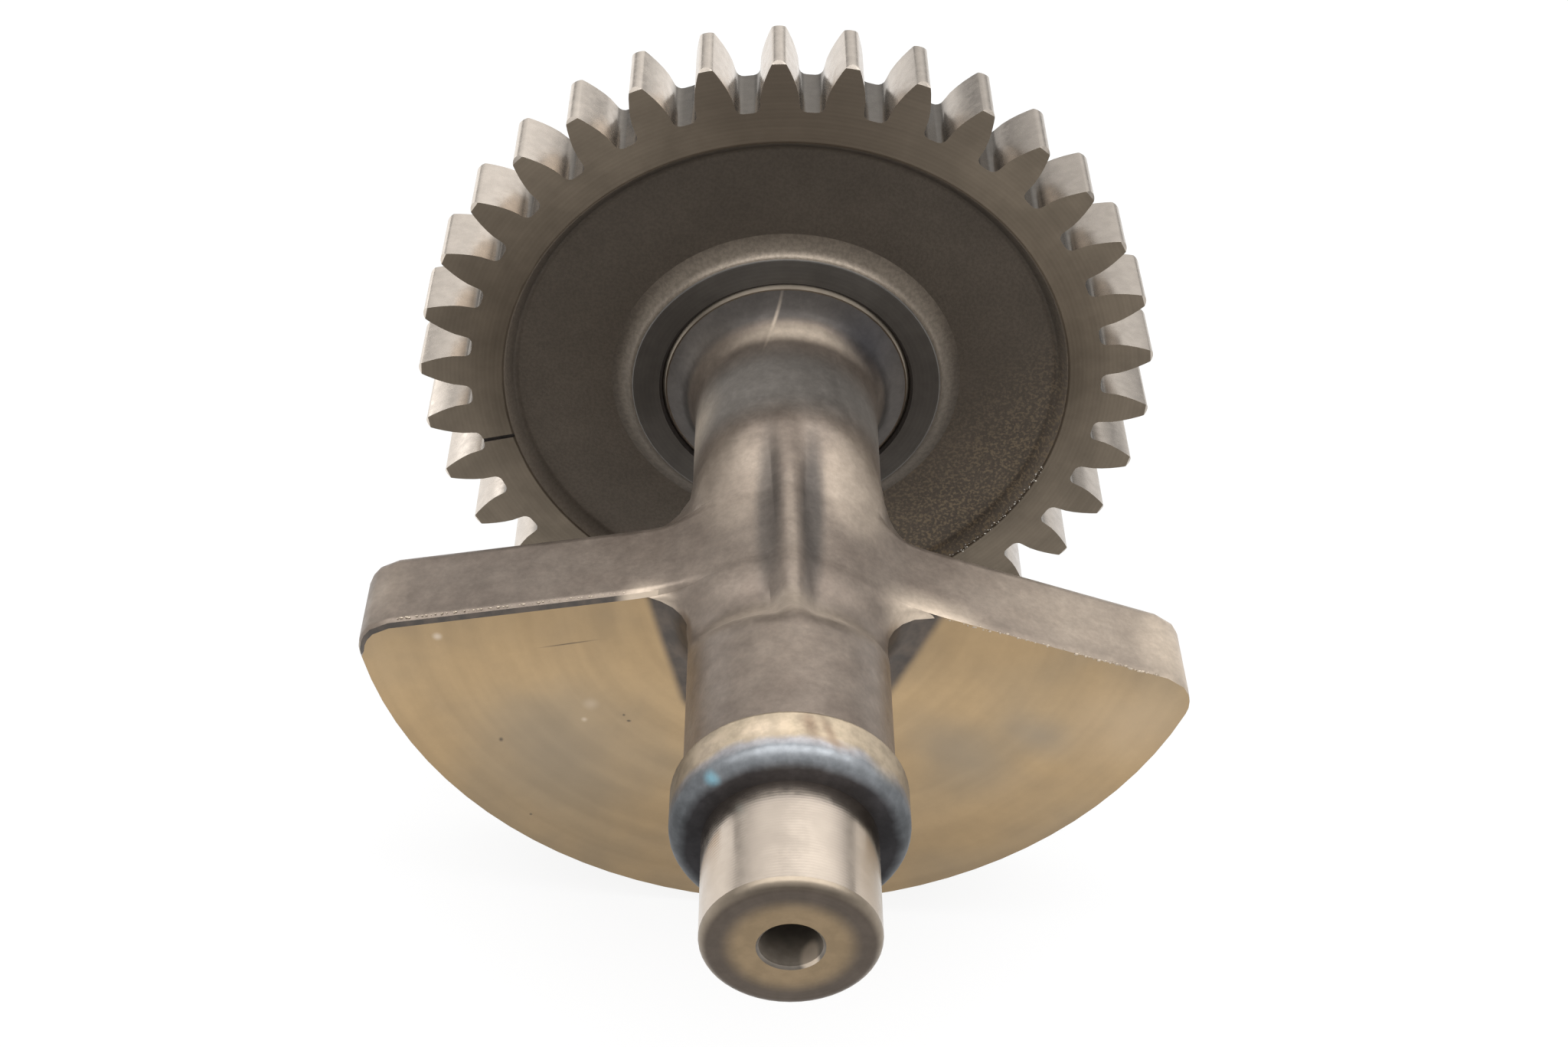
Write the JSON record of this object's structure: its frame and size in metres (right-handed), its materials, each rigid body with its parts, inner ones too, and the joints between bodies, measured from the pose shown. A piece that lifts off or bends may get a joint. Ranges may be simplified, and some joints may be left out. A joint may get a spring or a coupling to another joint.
{
  "type": "engine balance shaft",
  "caption": "Forged balance shaft with turned end journals, a half-round counterweight that hangs to one side of its axis, and a spur gear pressed on near its rear end.",
  "frame": {"origin": "on the shaft's axis, at the shoulder that the front bearing seats against", "axes": "-Y along the shaft towards the front journal's end, +Y towards the gear, -Z the way the counterweight hangs, X across"},
  "size_m": [0.1074, 0.1299, 0.1064],
  "materials": {
    "forged_steel": "blasted forging with ground journals and a faced counterweight",
    "gear_steel": "turned rim, blasted web and ground tooth flanks"
  },
  "bodies": {
    "root": {"balance_shaft": "forged_steel", "balancer_gear": "gear_steel"}
  },
  "joints": []
}
